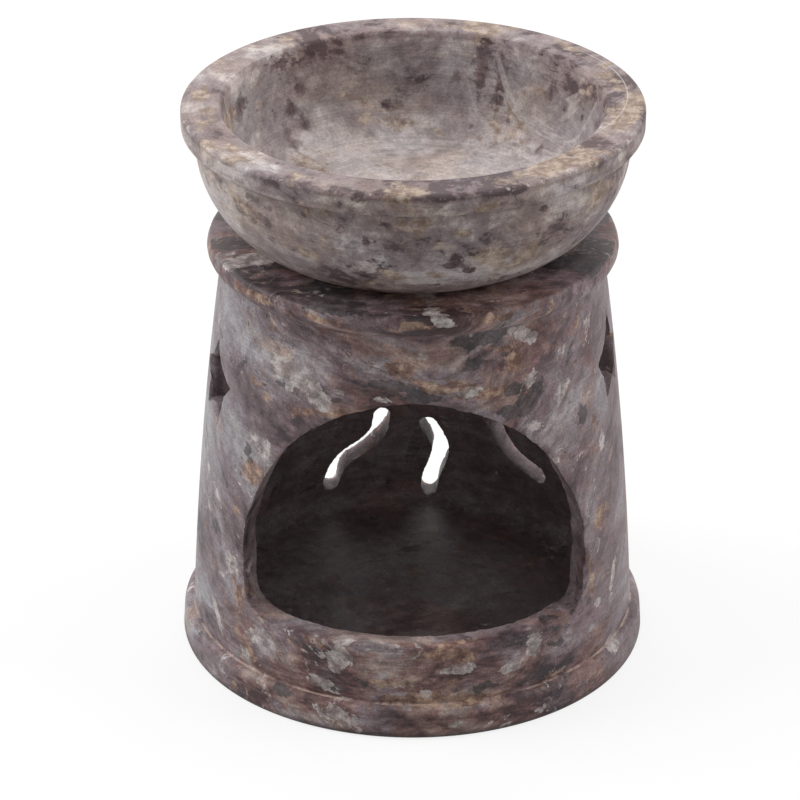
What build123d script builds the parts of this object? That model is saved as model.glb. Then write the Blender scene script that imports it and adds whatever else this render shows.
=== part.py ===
from build123d import *
from math import cos, pi, radians, sin, sqrt, tan
import os

# An essential oil burner turned and carved from soapstone: a hollow stand with a candle mouth,
# and a loose dish that sits on top of it. The origin is on the table, under the middle of the stand.
# The front, with the candle mouth, faces -Y.

# Stand, as turned
stand_height = 76.5
base_diameter = 82.0
plinth_height = 3.6
plinth_draft = 0.2
plinth_shoulder_height = 2.0
plinth_ledge = 2.0
belly_diameter = 73.1
belly_level = 40.0
neck_diameter = 65.5
collar_height = 4.4
collar_diameter = 70.2
collar_undercut = 1.1
collar_bulge = 0.6
stand_edge_round = 0.5

# Stand, as hollowed
wall_thickness = 4.4
floor_thickness = 4.2
roof_thickness = 6.5
well_diameter = 42.4
floor_cove_radius = 3.0
roof_cove_radius = 4.5
roof_cove_most_share = 0.7

# Candle mouth, sawn through the front of the wall
mouth_width = 60.4
sill_level = 16.2
lintel_height = 11.6
mouth_splay_angle = 26.0
mouth_corner_radius = 5.0
mouth_foot_share = 0.96
mouth_spring_shares = (1.00, 0.24)
mouth_arch_shares = ((0.94, 0.43), (0.76, 0.66), (0.49, 0.86))

# Five-pointed star cut through each side
star_points = 5
star_diameter = 14.4
star_notch_share = 0.60
star_angle = 75.0
left_star_drop = 19.5
right_star_drop = 15.1

# Three wavy draught slots through the back, each cut square to the wall at its own angle round from
# the front. A slot winds down along two arcs, from its top through a bend to the turn and its foot:
# across, as shares of the chamber's radius at the floor, and up, as shares of the stand's height.
slot_width = 3.0
slot_angles = (197.0, 173.5, 145.0)
slot_path_shares = (
    ((-0.13, 0.305), (-0.09, 0.25), (0.025, 0.215), (0.165, 0.14)),
    ((0.02, 0.275), (-0.04, 0.225), (-0.015, 0.17), (0.02, 0.095)),
    ((0.19, 0.335), (0.10, 0.275), (-0.025, 0.215), (-0.15, 0.185)),
)

# Dish, with a short spigot that drops into the well of the stand
dish_height = 23.5
dish_diameter = 78.0
lip_height = 3.7
lip_overhang = 2.3
rim_width = 6.7
seat_ledge = 4.2
dish_belly_diameter = 68.1
dish_belly_share = 0.40
bowl_depth = 17.6
bowl_draft_angle = 12.0
bowl_cove_radius = 9.0
spigot_depth = 2.5
spigot_clearance = 0.35
rim_edge_round = 0.8
lip_edge_round = 0.5

# Every cut runs this far past the face it breaks through
overrun = 2.0

base_radius = base_diameter / 2
foot_radius = base_radius - plinth_ledge
belly_radius = belly_diameter / 2
neck_radius = neck_diameter / 2
collar_radius = collar_diameter / 2
well_radius = well_diameter / 2
seat_radius = well_radius + seat_ledge
plinth_top = plinth_height + plinth_shoulder_height
neck_level = stand_height - collar_height
roof_level = stand_height - roof_thickness
chamber_radius = foot_radius - wall_thickness
roof_radius = neck_radius - wall_thickness
roof_cove_most = roof_cove_most_share * (roof_radius - well_radius)
mouth_height = neck_level - lintel_height - sill_level
star_radius = star_diameter / 2
star_notch_radius = star_notch_share * star_radius
left_star_level = neck_level - left_star_drop
right_star_level = neck_level - right_star_drop
cut_reach = max(base_radius, belly_radius) + overrun


def mouth_outline(reach):
    """The D-shaped mouth this far in front of the axis: a domed arch on short jambs, wider outwards."""
    jamb_reach = sqrt(foot_radius**2 - (mouth_width / 2) ** 2)
    half_width = mouth_width / 2 + (reach - jamb_reach) * tan(radians(mouth_splay_angle))
    spring_across, spring_up = mouth_spring_shares
    spring = (half_width * spring_across, sill_level + mouth_height * spring_up)
    right_arch = [(half_width * across, sill_level + mouth_height * up) for across, up in mouth_arch_shares]
    arch = [spring, *right_arch, (0, sill_level + mouth_height)]
    arch += [(-x, z) for x, z in reversed([spring, *right_arch])]
    foot = half_width * mouth_foot_share
    with BuildSketch(Plane.XZ.offset(reach)) as outline:
        with BuildLine():
            Spline(*arch, tangents=((0, 1), (0, -1)))
            Polyline(arch[-1], (-foot, sill_level), (foot, sill_level), arch[0])
        make_face()
        fillet(outline.vertices().group_by(Axis.Y)[0], mouth_corner_radius)
    return outline.sketch


def star_corners():
    """The tips of a star and the notches between them, in turn, from the tip at its top."""
    corners = []
    for corner in range(2 * star_points):
        reach = star_notch_radius if corner % 2 else star_radius
        turn = corner * pi / star_points
        corners.append((reach * sin(turn), reach * cos(turn)))
    return corners


def outward_plane(angle, level):
    """Face outwards from the stand's axis, this many degrees round from the front."""
    outwards = (sin(radians(angle)), -cos(radians(angle)), 0)
    along = (cos(radians(angle)), sin(radians(angle)), 0)
    return Plane(origin=(0, 0, level), x_dir=along, z_dir=outwards)


with BuildPart() as stand:
    # The turned and hollowed body
    with BuildSketch(Plane.XZ) as stand_section:
        with BuildLine():
            base = Line((0, 0), (base_radius, 0))
            plinth = Line(base @ 1, (base_radius - plinth_draft, plinth_height))
            shoulder = TangentArc(plinth @ 1, (foot_radius, plinth_top), tangent=(0, 1))
            body = ThreePointArc(shoulder @ 1, (belly_radius, belly_level), (neck_radius, neck_level))
            collar_foot = (collar_radius - collar_bulge, neck_level + collar_undercut)
            undercut = Line(body @ 1, collar_foot)
            collar_middle = (collar_radius, (collar_foot[1] + stand_height) / 2)
            bead = ThreePointArc(undercut @ 1, collar_middle, (collar_foot[0], stand_height))
            top = Line(bead @ 1, (well_radius, stand_height))
            well = Line(top @ 1, (well_radius, roof_level))
            roof = Line(well @ 1, (roof_radius, roof_level))
            chamber = ThreePointArc(
                roof @ 1, (belly_radius - wall_thickness, belly_level), (chamber_radius, floor_thickness)
            )
            chamber_floor = Line(chamber @ 1, (0, floor_thickness))
            Line(chamber_floor @ 1, base @ 0)
        make_face()
        corners = stand_section.vertices()
        fillet(corners.sort_by_distance(roof @ 1)[0], min(roof_cove_radius, roof_cove_most))
        fillet(corners.sort_by_distance(chamber @ 1)[0], floor_cove_radius)
        fillet(corners.sort_by_distance(base @ 1)[0], stand_edge_round)
        fillet(corners.sort_by_distance(top @ 0)[0], stand_edge_round)
    revolve(axis=Axis.Z)

    # The candle mouth, open from the chamber to the front
    loft([mouth_outline(0), mouth_outline(cut_reach)], ruled=True, mode=Mode.SUBTRACT)

    # A star through each side, cut by eye, so one stands a little higher than the other
    for side_angle, level in ((-star_angle, left_star_level), (star_angle, right_star_level)):
        with BuildSketch(outward_plane(side_angle, level)):
            with BuildLine():
                Polyline(*star_corners(), close=True)
            make_face()
        extrude(amount=cut_reach, mode=Mode.SUBTRACT)

    # The draught slots
    for back_angle, path in zip(slot_angles, slot_path_shares):
        with BuildSketch(outward_plane(back_angle, 0)):
            with BuildLine():
                slot_top, bend, turn, slot_foot = [
                    (across * chamber_radius, up * stand_height) for across, up in path
                ]
                upper_wave = ThreePointArc(slot_top, bend, turn)
                TangentArc(turn, slot_foot, tangent=upper_wave % 1)
                offset(amount=slot_width / 2, mode=Mode.REPLACE)
            make_face()
        extrude(amount=cut_reach, mode=Mode.SUBTRACT)

with BuildPart() as dish:
    seat_level = stand_height
    rim_level = seat_level + dish_height
    lip_level = rim_level - lip_height
    rim_radius = dish_diameter / 2
    spigot_radius = well_radius - spigot_clearance
    bowl_radius = rim_radius - rim_width
    bowl_floor_radius = bowl_radius - bowl_depth * tan(radians(bowl_draft_angle))
    bowl_level = rim_level - bowl_depth
    with BuildSketch(Plane.XZ) as dish_section:
        with BuildLine():
            spigot = Line((0, seat_level - spigot_depth), (spigot_radius, seat_level - spigot_depth))
            spigot_side = Line(spigot @ 1, (spigot_radius, seat_level))
            seat = Line(spigot_side @ 1, (seat_radius, seat_level))
            belly = (dish_belly_diameter / 2, seat_level + dish_belly_share * (lip_level - seat_level))
            side = ThreePointArc(seat @ 1, belly, (rim_radius - lip_overhang, lip_level))
            lip = Line(side @ 1, (rim_radius, lip_level))
            lip_face = Line(lip @ 1, (rim_radius, rim_level))
            rim = Line(lip_face @ 1, (bowl_radius, rim_level))
            bowl_side = Line(rim @ 1, (bowl_floor_radius, bowl_level))
            bowl_floor = Line(bowl_side @ 1, (0, bowl_level))
            Line(bowl_floor @ 1, spigot @ 0)
        make_face()
        corners = dish_section.vertices()
        fillet(corners.sort_by_distance(bowl_side @ 1)[0], bowl_cove_radius)
        fillet(corners.sort_by_distance(rim @ 0)[0], rim_edge_round)
        fillet(corners.sort_by_distance(rim @ 1)[0], rim_edge_round)
        fillet(corners.sort_by_distance(lip @ 1)[0], lip_edge_round)
    revolve(axis=Axis.Z)

stand.part.label = "stand"
dish.part.label = "dish"

os.makedirs("parts", exist_ok=True)
export_step(stand.part, "parts/stand.step")
export_step(dish.part, "parts/dish.step")
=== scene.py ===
import math

import bpy
import numpy as np
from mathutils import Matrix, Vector


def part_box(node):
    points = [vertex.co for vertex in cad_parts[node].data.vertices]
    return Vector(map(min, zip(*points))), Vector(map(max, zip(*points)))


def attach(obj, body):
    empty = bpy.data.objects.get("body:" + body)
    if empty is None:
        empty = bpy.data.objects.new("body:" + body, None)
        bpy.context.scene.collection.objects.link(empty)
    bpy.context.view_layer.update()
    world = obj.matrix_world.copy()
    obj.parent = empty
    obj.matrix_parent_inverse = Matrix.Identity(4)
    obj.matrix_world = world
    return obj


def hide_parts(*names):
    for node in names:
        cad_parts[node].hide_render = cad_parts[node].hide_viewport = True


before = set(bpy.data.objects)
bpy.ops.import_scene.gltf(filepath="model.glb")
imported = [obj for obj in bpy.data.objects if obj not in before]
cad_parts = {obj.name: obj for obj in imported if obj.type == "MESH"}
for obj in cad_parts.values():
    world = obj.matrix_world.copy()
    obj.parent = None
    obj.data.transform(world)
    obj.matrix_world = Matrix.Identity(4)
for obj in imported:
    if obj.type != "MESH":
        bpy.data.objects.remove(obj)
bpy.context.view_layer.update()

# Stand
# One block of soapstone, turned on a lathe to a tapering drum with a plinth below and a collar above,
# then hollowed for a candle. The mouth, the two stars and the three draught slots are cut through its
# wall by hand, so their edges are a little uneven and softened by rubbing down.
MM = 0.001
stand_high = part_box("stand")[1]
stand_height = stand_high.z
base_radius = stand_high.x
base_round = 0.5 * MM
plinth_height = 3.6 * MM
plinth_draft = 0.2 * MM
plinth_top = 5.6 * MM
plinth_ledge = 2.0 * MM
foot_radius = base_radius - plinth_ledge
belly_radius = 36.55 * MM
belly_level = 40.0 * MM
neck_radius = 32.75 * MM
collar_height = 4.4 * MM
neck_level = stand_height - collar_height
collar_radius = 35.1 * MM
collar_bulge = 0.6 * MM
collar_undercut = 1.1 * MM
collar_round = 0.9 * MM
well_radius = 21.2 * MM
well_round = 0.6 * MM
roof_thickness = 6.5 * MM
roof_level = stand_height - roof_thickness
wall_thickness = 4.4 * MM
roof_radius = neck_radius - wall_thickness
roof_cove = 4.5 * MM
chamber_belly_radius = belly_radius - wall_thickness
chamber_foot_radius = foot_radius - wall_thickness
chamber_floor = 4.2 * MM
floor_cove = 3.0 * MM
stand_turns = 288
edge_wear = 0.14 * MM


def arc_through(start, middle, end, steps):
    """Points along the round stretch from start through middle to end, without the start itself."""
    (ax, ay), (bx, by), (cx, cy) = start, middle, end
    twice_area = 2 * (ax * (by - cy) + bx * (cy - ay) + cx * (ay - by))
    a2, b2, c2 = ax * ax + ay * ay, bx * bx + by * by, cx * cx + cy * cy
    x = (a2 * (by - cy) + b2 * (cy - ay) + c2 * (ay - by)) / twice_area
    y = (a2 * (cx - bx) + b2 * (ax - cx) + c2 * (bx - ax)) / twice_area
    radius = math.hypot(ax - x, ay - y)
    first = math.atan2(ay - y, ax - x)
    sweep = math.atan2(cy - y, cx - x) - first
    if twice_area > 0:
        sweep = sweep % math.tau
    else:
        sweep = -((-sweep) % math.tau)
    turned = [first + sweep * i / steps for i in range(1, steps + 1)]
    return [(x + radius * math.cos(t), y + radius * math.sin(t)) for t in turned]


def straight_to(start, end, steps):
    """Evenly spaced points on the straight run from start to end, without the start itself."""
    shares = [i / steps for i in range(1, steps + 1)]
    return [(start[0] + (end[0] - start[0]) * s, start[1] + (end[1] - start[1]) * s) for s in shares]


def rounded(before, corner, after, radius, steps):
    """Points of the round that takes off a corner between two straight runs."""
    corner = Vector(corner)
    back = (Vector(before) - corner).normalized()
    ahead = (Vector(after) - corner).normalized()
    half = back.angle(ahead) / 2
    reach = radius / math.tan(half)
    middle = corner + (back + ahead).normalized() * (radius / math.sin(half) - radius)
    start, end = corner + back * reach, corner + ahead * reach
    return [tuple(start), *arc_through(tuple(start), tuple(middle), tuple(end), steps)]


def turned_on_lathe(name, outline, turns):
    """Draws half a section as a chain of edges, from axis to axis, and spins it into a closed solid."""
    bpy.ops.object.select_all(action="DESELECT")
    bpy.ops.mesh.primitive_plane_add(size=MM)
    solid = bpy.context.object
    solid.name = name
    bpy.ops.object.mode_set(mode="EDIT")
    bpy.ops.mesh.select_mode(type="VERT")
    bpy.ops.mesh.merge(type="CENTER")
    radius, level = outline[0]
    bpy.ops.transform.translate(value=(radius, 0, level))
    for (r0, z0), (r1, z1) in zip(outline, outline[1:]):
        bpy.ops.mesh.extrude_vertices_move(TRANSFORM_OT_translate={"value": (r1 - r0, 0, z1 - z0)})
    bpy.ops.mesh.select_all(action="SELECT")
    bpy.ops.mesh.spin(steps=turns, angle=math.tau, center=(0, 0, 0), axis=(0, 0, 1))
    bpy.ops.mesh.select_all(action="SELECT")
    bpy.ops.mesh.remove_doubles(threshold=0.001 * MM)
    bpy.ops.mesh.normals_make_consistent(inside=False)
    bpy.ops.object.mode_set(mode="OBJECT")
    return solid


base_edge = rounded((0, 0), (base_radius, 0), (base_radius, plinth_height), base_round, 4)
plinth_edge = (base_radius - plinth_draft, plinth_height)
foot = (foot_radius, plinth_top)
shoulder_bend = (base_radius - plinth_draft - 0.6 * MM, plinth_height + 1.42 * MM)
foot_groove = [
    (foot_radius + 0.10 * MM, plinth_top - 0.15 * MM),
    (foot_radius - 0.25 * MM, plinth_top + 0.05 * MM),
    (foot_radius - 0.27 * MM, plinth_top + 0.25 * MM),
    (foot_radius - 0.03 * MM, plinth_top + 0.50 * MM),
]
neck = (neck_radius, neck_level)
collar_foot = (collar_radius - collar_bulge, neck_level + collar_undercut)
collar_middle = (collar_radius, (collar_foot[1] + stand_height - collar_round) / 2)
collar_head = (collar_radius - collar_bulge / 2, stand_height - collar_round)
collar_edge = rounded(collar_head, (collar_head[0], stand_height), (0, stand_height), collar_round, 4)
well_edge = rounded((neck_radius, stand_height), (well_radius, stand_height), (well_radius, 0), well_round, 4)
well_foot = (well_radius, roof_level)
cove_head = (roof_radius - roof_cove, roof_level)
cove_foot = (roof_radius + 0.55 * MM, roof_level - roof_cove)
cove_bend = (roof_radius - 0.28 * roof_cove + 0.2 * MM, roof_level - 0.26 * roof_cove)
chamber_belly = (chamber_belly_radius, belly_level)
floor_head = (chamber_foot_radius, chamber_floor + floor_cove)
floor_bend = (chamber_foot_radius - 0.29 * floor_cove, chamber_floor + 0.29 * floor_cove)
floor_foot = (chamber_foot_radius - floor_cove, chamber_floor)

stand_outline = [(0, 0)]
stand_outline += straight_to((0, 0), base_edge[0], 14)
stand_outline += base_edge[1:]
stand_outline += straight_to(base_edge[-1], plinth_edge, 4)
stand_outline += arc_through(plinth_edge, shoulder_bend, foot, 8)[:-1]
stand_outline += foot_groove
stand_outline += arc_through(foot_groove[-1], (belly_radius, belly_level), neck, 76)
stand_outline += straight_to(neck, collar_foot, 3)
stand_outline += arc_through(collar_foot, collar_middle, collar_head, 5)
stand_outline += collar_edge
stand_outline += straight_to(collar_edge[-1], well_edge[0], 14)
stand_outline += well_edge[1:]
stand_outline += straight_to(well_edge[-1], well_foot, 7)
stand_outline += straight_to(well_foot, cove_head, 3)
stand_outline += arc_through(cove_head, cove_bend, cove_foot, 6)
stand_outline += arc_through(cove_foot, chamber_belly, floor_head, 56)
stand_outline += arc_through(floor_head, floor_bend, floor_foot, 5)
stand_outline += straight_to(floor_foot, (0, chamber_floor), 18)
stand = turned_on_lathe("stand_stone", stand_outline, stand_turns)


def curve_as_edges(points, closed, handles="AUTO"):
    """A smooth curve through points across the front (x, z), made a loop or chain of mesh edges."""
    bpy.ops.object.select_all(action="DESELECT")
    if closed:
        bpy.ops.curve.primitive_bezier_circle_add()
    else:
        bpy.ops.curve.primitive_bezier_curve_add()
    curve = bpy.context.object
    spline = curve.data.splines[0]
    spline.bezier_points.add(len(points) - len(spline.bezier_points))
    for knot, (x, z) in zip(spline.bezier_points, points):
        knot.co = (x, 0, z)
        knot.handle_left_type = handles
        knot.handle_right_type = handles
    curve.data.dimensions = "3D"
    curve.data.resolution_u = 10
    bpy.ops.object.convert(target="MESH")
    return bpy.context.object


def pushed_out(cutter, start, end, steps, widen=1.0):
    """Moves a filled outline to one depth in front of the axis and extrudes it to another."""
    bpy.ops.object.mode_set(mode="EDIT")
    bpy.ops.mesh.select_all(action="SELECT")
    bpy.ops.transform.translate(value=(0, -start, 0))
    step = (end - start) / steps
    for i in range(steps):
        grow = (1 + (widen - 1) * (i + 1) / steps) / (1 + (widen - 1) * i / steps)
        bpy.ops.mesh.extrude_region_move(TRANSFORM_OT_translate={"value": (0, -step, 0)})
        bpy.ops.transform.resize(value=(grow, 1, 1), center_override=(0, 0, 0))
    bpy.ops.mesh.select_all(action="SELECT")
    bpy.ops.mesh.normals_make_consistent(inside=False)
    bpy.ops.object.mode_set(mode="OBJECT")
    return cutter


def turned_to(cutter, angle):
    """Turns a cutter made at the front round the stand."""
    cutter.rotation_euler = (0, 0, math.radians(angle))
    bpy.ops.object.transform_apply(location=True, rotation=True, scale=True)
    return cutter


def filled(outline):
    """Fills a closed outline with one face."""
    bpy.ops.object.mode_set(mode="EDIT")
    bpy.ops.mesh.select_all(action="SELECT")
    bpy.ops.mesh.remove_doubles(threshold=0.01 * MM)
    bpy.ops.mesh.edge_face_add()
    bpy.ops.object.mode_set(mode="OBJECT")
    return outline


cut_overrun = 2.0 * MM
cut_reach = base_radius + cut_overrun
sill_level = 16.2 * MM
mouth_reach = 24.7 * MM
mouth_splay = math.tan(math.radians(26.0))
mouth_outline = [
    (0, 16.2), (8, 16.35), (15, 16.2), (21.0, 16.5), (24.4, 16.95), (26.2, 16.7), (28.2, 17.8), (29.2, 20.2),
    (29.5, 23.4), (30.25, 26.2), (29.75, 29.0), (29.9, 31.4), (28.9, 34.6), (27.5, 38.0), (25.2, 41.8),
    (22.8, 45.8), (19.2, 50.3), (14.8, 54.4), (8.0, 58.5), (0, 60.5), (-8.0, 58.6), (-14.6, 54.6),
    (-18.9, 50.6), (-22.6, 45.6), (-25.5, 40.6), (-27.8, 35.4), (-29.2, 31.0), (-29.3, 27.0), (-29.0, 24.0),
    (-28.8, 20.8), (-27.3, 17.6), (-24.0, 16.5), (-15, 16.2), (-7, 16.3),
]
mouth_half_width = 30.2 * MM
narrowed = 1 - mouth_reach * mouth_splay / mouth_half_width
widened = 1 + (cut_reach - mouth_reach) * mouth_splay / mouth_half_width
mouth_points = [(x * MM * narrowed, z * MM) for x, z in mouth_outline]
mouth_cutter = filled(curve_as_edges(mouth_points, closed=True))
mouth_cutter = pushed_out(mouth_cutter, 0, cut_reach, 40, widened / narrowed)

star_start = 20.0 * MM
star_levels = {-74.0: 52.6, 76.0: 57.0}
star_corners = {
    -74.0: [
        (0.0, 7.7), (2.7, 3.8), (7.4, 1.5), (5.0, -0.9), (3.65, -7.0),
        (0.4, -3.6), (-3.65, -5.8), (-2.9, -0.8), (-7.4, 1.4), (-2.5, 3.7),
    ],
    76.0: [
        (0.5, 7.6), (2.0, 2.7), (6.6, 1.1), (3.0, -1.0), (2.8, -5.8),
        (-0.4, -4.0), (-4.0, -6.5), (-4.6, -2.3), (-6.9, 0.64), (-2.4, 3.6),
    ],
}
star_cutters = []
for star_angle, corners in star_corners.items():
    star_points = [(x * MM, (z + star_levels[star_angle]) * MM) for x, z in corners]
    star_cutter = filled(curve_as_edges(star_points, closed=True, handles="VECTOR"))
    star_cutters.append(turned_to(pushed_out(star_cutter, star_start, cut_reach, 20), star_angle))

# Each slot winds down the wall, and the saw wandered sideways on its way out through it: level and
# wander across the wall, in mm
slot_width = 3.2 * MM
slot_start = 30.0 * MM
slot_depth = 33.8 * MM
slot_paths = {
    197.0: [(-4.5, 23.4), (-3.6, 19.7), (-0.4, 16.8), (2.4, 15.2), (4.4, 12.9), (5.4, 10.4)],
    173.5: [(0.9, 21.2), (-0.6, 18.9), (-1.5, 16.4), (-0.9, 13.3), (0.2, 10.1), (0.6, 7.5)],
    145.0: [(6.1, 26.0), (4.5, 22.7), (2.7, 19.5), (0.0, 17.1), (-2.8, 15.8), (-4.8, 15.1)],
}
slot_wanders = {
    197.0: [(9.0, -1.0), (14.5, 0.2), (18.0, 0.3), (22.0, -1.2)],
    173.5: [(7.0, 0.35), (12.0, 0.35), (16.0, 0.1), (20.0, -0.5)],
    145.0: [(15.0, 0.0), (25.0, 0.0)],
}


def ribbon_outline(path, width, end_steps):
    """The outline of a slot of even width along a winding path, with round ends."""
    course = [(x, z) for x, _, z in (tuple(knot.co) for knot in path.data.vertices)]
    ahead = [math.atan2(z1 - z0, x1 - x0) for (x0, z0), (x1, z1) in zip(course, course[1:])]
    headings = [ahead[0], *[(a + b) / 2 for a, b in zip(ahead, ahead[1:])], ahead[-1]]
    half = width / 2
    left = [(x - half * math.sin(t), z + half * math.cos(t)) for (x, z), t in zip(course, headings)]
    right = [(x + half * math.sin(t), z - half * math.cos(t)) for (x, z), t in zip(course, headings)]
    ends = []
    for (x, z), heading in ((course[-1], headings[-1]), (course[0], headings[0] + math.pi)):
        turns = [heading + math.pi / 2 - math.pi * i / end_steps for i in range(1, end_steps)]
        ends.append([(x + half * math.cos(t), z + half * math.sin(t)) for t in turns])
    bpy.data.objects.remove(path)
    return left + ends[0] + right[::-1] + ends[1]


def wandering(cutter, wander):
    """Leans a cutter made at the front sideways, by its own amount at each level."""
    places = np.empty(3 * len(cutter.data.vertices))
    cutter.data.vertices.foreach_get("co", places)
    places = places.reshape(-1, 3)
    levels, drifts = zip(*wander)
    drift = np.interp(places[:, 2] / MM, levels, drifts) * MM
    places[:, 0] += drift * (-places[:, 1] - slot_depth) / wall_thickness
    cutter.data.vertices.foreach_set("co", places.ravel())
    return cutter


slot_cutters = []
for slot_angle, slot_path in slot_paths.items():
    slot_course = curve_as_edges([(x * MM, z * MM) for x, z in slot_path], closed=False)
    slot_points = ribbon_outline(slot_course, slot_width, 8)
    slot_cutter = filled(curve_as_edges(slot_points, closed=True, handles="VECTOR"))
    slot_cutter = wandering(pushed_out(slot_cutter, slot_start, cut_reach, 12), slot_wanders[slot_angle])
    slot_cutters.append(turned_to(slot_cutter, slot_angle))

for cutter in [mouth_cutter, *star_cutters, *slot_cutters]:
    bpy.context.view_layer.objects.active = stand
    bpy.ops.object.modifier_add(type="BOOLEAN")
    cut = stand.modifiers["Boolean"]
    cut.operation = "DIFFERENCE"
    cut.solver = "MANIFOLD"
    cut.object = cutter
    bpy.ops.object.modifier_apply(modifier="Boolean")
    bpy.data.objects.remove(cutter)

bpy.ops.object.select_all(action="DESELECT")
stand.select_set(True)
bpy.context.view_layer.objects.active = stand
bpy.ops.object.mode_set(mode="EDIT")
bpy.ops.mesh.select_mode(type="EDGE")
bpy.ops.mesh.select_all(action="DESELECT")
bpy.ops.mesh.edges_select_sharp(sharpness=math.radians(40))
bpy.ops.mesh.select_mode(type="VERT")
bpy.ops.transform.vertex_random(offset=edge_wear, uniform=0.6, normal=0.4, seed=4)
bpy.ops.mesh.vertices_smooth(factor=0.4, repeat=2)
bpy.ops.object.mode_set(mode="OBJECT")
bpy.ops.object.shade_smooth_by_angle(angle=math.radians(50))


def points_of(solid):
    """Azimuth round from the front in degrees, radius and level of each point of a turned piece."""
    places = np.empty(3 * len(solid.data.vertices))
    solid.data.vertices.foreach_get("co", places)
    x, y, z = places.reshape(-1, 3).T
    return np.degrees(np.arctan2(x, -y)), np.hypot(x, y), z


def spots(azimuth, reach, up, places):
    """How far each point lies in any of the spots: 1 in a spot's middle, a half at its edge, 0 outside.
    A spot is its azimuth, its place up the surface, half its width and height, in mm, and its tilt."""
    strength = np.zeros(len(up))
    for spot_azimuth, spot_up, half_width, half_height, tilt in places:
        across = np.radians((azimuth - spot_azimuth + 180) % 360 - 180) * reach / MM
        rise = up / MM - spot_up
        lean = math.radians(tilt)
        along = across * math.cos(lean) + rise * math.sin(lean)
        over = rise * math.cos(lean) - across * math.sin(lean)
        distance = np.hypot(along / half_width, over / half_height)
        strength = np.maximum(strength, 0.5 ** (distance**2))
    return strength


def write_colours(solid, name, red, green, blue, alpha):
    """Stores four numbers a point as a colour attribute that the finish reads."""
    colours = np.stack([red, green, blue, alpha], axis=1).astype(np.float32)
    attribute = solid.data.attributes.new(name, "FLOAT_COLOR", "POINT")
    attribute.data.foreach_set("color", colours.ravel())


# Pale, rusty and dark patches of the stone that show at the front: azimuth in degrees, then level,
# half width, half height in mm and tilt in degrees
stand_pale_spots = [
    (-32.5, 62.6, 3.6, 2.4, -20), (-27.0, 59.6, 3.2, 1.5, -35), (-41.0, 63.7, 3.2, 1.0, -25),
    (-36.5, 60.4, 0.9, 0.9, 0), (-46.0, 48.0, 3.4, 1.1, 5), (-8.0, 60.9, 2.8, 0.9, -10),
    (30.0, 71.2, 2.2, 1.0, 5), (34.5, 69.6, 2.2, 1.0, -20), (35.5, 63.3, 1.3, 1.6, -30),
    (46.0, 64.5, 2.2, 1.2, 45), (45.5, 57.2, 2.8, 0.7, 50), (14.5, 61.8, 1.7, 0.7, 20),
    (35.0, 53.7, 2.0, 0.8, -20), (63.0, 44.5, 1.1, 2.0, 0), (-56.0, 23.6, 2.0, 2.4, 10),
    (-62.0, 11.5, 3.4, 0.7, -48), (-43.0, 12.4, 2.6, 1.4, 5), (-49.5, 7.8, 1.7, 1.0, 0),
    (-19.0, 12.6, 1.4, 2.0, -20), (-18.5, 16.8, 1.8, 0.7, 0), (-25.0, 8.0, 2.4, 1.1, -10),
    (12.0, 12.0, 3.6, 1.0, 3), (25.0, 10.4, 2.0, 0.9, 8), (32.5, 13.5, 1.6, 1.7, 20),
    (9.0, 17.4, 2.4, 0.4, 0), (30.0, 17.2, 3.6, 0.5, 8), (66.0, 18.5, 3.0, 0.7, 62),
    (56.0, 15.5, 1.5, 1.2, 30), (57.5, 26.5, 0.9, 1.0, 0), (9.5, 2.4, 2.0, 1.0, 0),
    (-65.0, 76.4, 1.8, 0.4, 0), (62.0, 5.6, 2.2, 0.9, 10), (7.5, 75.9, 2.2, 0.7, -20),
    (3.0, 7.6, 1.4, 0.6, 0), (-70.0, 30.0, 1.5, 0.8, -45), (-64.0, 33.0, 1.6, 0.7, -45),
]
stand_rust_spots = [
    (-50.0, 75.0, 6.5, 0.8, 0), (-26.0, 74.6, 3.6, 0.5, 0), (-3.0, 67.0, 3.2, 1.2, 0),
    (8.0, 63.6, 4.2, 1.2, -8), (30.0, 66.0, 1.3, 1.6, 0), (23.0, 68.4, 4.0, 0.4, 8),
    (22.0, 61.4, 2.6, 0.6, 0), (33.0, 60.4, 1.5, 0.8, 0), (24.0, 75.2, 3.2, 0.8, 0),
    (2.0, 75.2, 2.6, 0.7, 0), (-25.0, 57.6, 5.0, 0.9, 6), (-49.0, 42.5, 2.4, 2.0, -40),
    (-51.0, 17.0, 1.1, 2.4, 0), (-46.0, 8.2, 1.6, 1.1, 0), (-2.0, 6.6, 5.0, 0.9, 0),
    (-24.0, 15.2, 1.2, 0.5, -20), (8.0, 15.0, 4.0, 1.0, 0), (58.5, 32.0, 1.3, 3.4, 10),
    (54.0, 22.0, 0.7, 4.0, 0), (60.0, 49.0, 1.6, 1.3, 0), (52.0, 52.2, 1.2, 1.8, 0),
    (-8.0, 9.6, 3.0, 0.9, 0), (16.0, 6.0, 4.0, 0.6, 4), (40.0, 6.4, 4.0, 0.6, 8),
]
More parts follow.
